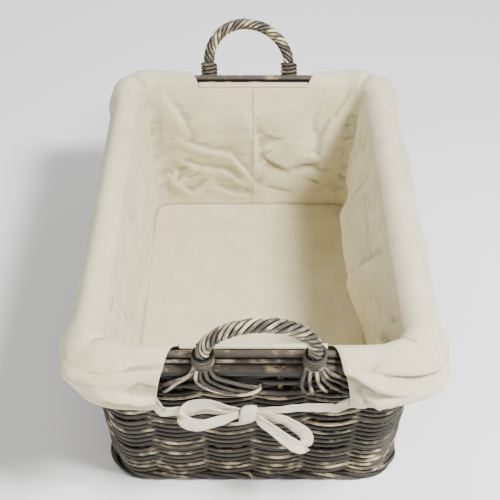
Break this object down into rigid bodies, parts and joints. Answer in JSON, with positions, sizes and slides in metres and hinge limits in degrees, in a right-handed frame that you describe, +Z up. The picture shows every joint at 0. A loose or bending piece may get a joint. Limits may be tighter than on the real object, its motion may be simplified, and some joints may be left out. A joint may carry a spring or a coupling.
{
  "type": "lined wicker log basket",
  "caption": "Rectangular woven wicker basket with an arched twisted handle at each end and a lift-out cloth liner, folded over the rim and tied with bows.",
  "frame": {"origin": "on the ground, at the middle of the base", "axes": "+Z up, +Y along the length towards the back handle, +X to the right seen from the front handle"},
  "size_m": [0.408, 0.6842, 0.3075],
  "materials": {
    "rib_cane": "antique-washed cane, matt",
    "weaving_cane": "antique-washed split cane, dark in the gaps and rubbed pale on the bulges",
    "rim_cane": "brown washed cane, rubbed pale on top",
    "handle_cane": "pale grey washed cane, twisted",
    "liner_cotton": "unbleached plain-weave cotton",
    "tape_cotton": "folded and stitched cotton tape"
  },
  "bodies": {
    "basket": {"long_rib_1": "rib_cane", "long_rib_2": "rib_cane", "long_rib_3": "rib_cane", "long_rib_4": "rib_cane", "long_rib_5": "rib_cane", "long_rib_6": "rib_cane", "cross_rib_1": "rib_cane", "cross_rib_2": "rib_cane", "cross_rib_3": "rib_cane", "cross_rib_4": "rib_cane", "cross_rib_5": "rib_cane", "cross_rib_6": "rib_cane", "cross_rib_7": "rib_cane", "cross_rib_8": "rib_cane", "cross_rib_9": "rib_cane", "floor_mat": "weaving_cane", "foot_border": "weaving_cane", "upsett_rod_1": "weaving_cane", "upsett_rod_2": "weaving_cane", "weave_course_1": "weaving_cane", "weave_course_2": "weaving_cane", "weave_course_3": "weaving_cane", "weave_course_4": "weaving_cane", "weave_course_5": "weaving_cane", "weave_course_6": "weaving_cane", "outer_hoop": "rim_cane", "inner_hoop": "rim_cane", "top_rod_front": "rim_cane", "top_rod_right": "rim_cane", "top_rod_back": "rim_cane", "top_rod_left": "rim_cane", "front_handle_core": "rim_cane", "back_handle_core": "rim_cane", "front_handle_wrap": "handle_cane", "front_handle_lashing_left": "handle_cane", "front_handle_lashing_right": "handle_cane", "back_handle_wrap": "handle_cane", "back_handle_lashing_left": "handle_cane", "back_handle_lashing_right": "handle_cane", "tape_right": "tape_cotton", "tape_left": "tape_cotton", "front_bow_knot": "tape_cotton", "front_bow_loop_left": "tape_cotton", "front_bow_loop_right": "tape_cotton", "back_bow_knot": "tape_cotton", "back_bow_loop_left": "tape_cotton", "back_bow_loop_right": "tape_cotton"},
    "liner": {"liner_floor": "liner_cotton", "liner_wall_front": "liner_cotton", "liner_wall_right": "liner_cotton", "liner_wall_back": "liner_cotton", "liner_wall_left": "liner_cotton", "cuff_front_right": "liner_cotton", "cuff_right": "liner_cotton", "cuff_back_right": "liner_cotton", "cuff_back_left": "liner_cotton", "cuff_left": "liner_cotton", "cuff_front_left": "liner_cotton"}
  },
  "joints": [
    {"name": "liner_lift", "type": "slide", "parent": "basket", "child": "liner", "axis": [0, 0, 1], "range_m": [0, 0.32]}
  ]
}
